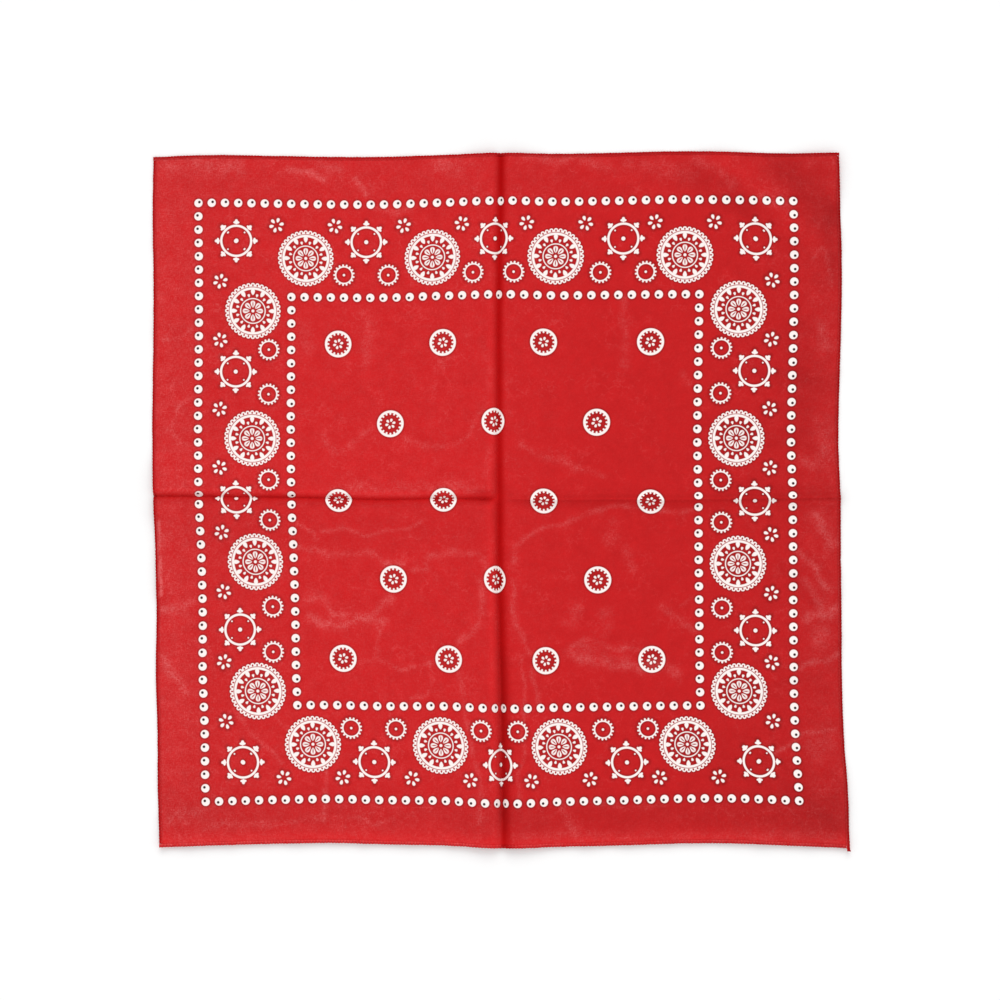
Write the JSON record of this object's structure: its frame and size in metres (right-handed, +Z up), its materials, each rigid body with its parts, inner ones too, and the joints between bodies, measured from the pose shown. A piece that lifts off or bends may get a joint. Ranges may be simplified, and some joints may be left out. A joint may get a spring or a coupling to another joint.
{
  "type": "bandana",
  "caption": "Square printed cotton bandana with rolled hems, spread out flat, with the ironed creases of a fold in four.",
  "frame": {"origin": "on the surface that the cloth lies on, under the middle of its bounding box", "axes": "+Z up out of the printed face, +Y towards the edge that is at the top of the picture, +X towards its right edge"},
  "size_m": [0.5438, 0.5443, 0.009],
  "materials": {
    "printed_cotton": "matt red cotton voile with a white print",
    "hem_cotton": "matt red cotton, rolled and stitched",
    "thread": "red sewing thread with a slight sheen"
  },
  "bodies": {
    "root": {"panel": "printed_cotton", "hem_top": "hem_cotton", "hem_bottom": "hem_cotton", "hem_left": "hem_cotton", "hem_right": "hem_cotton"}
  },
  "joints": []
}
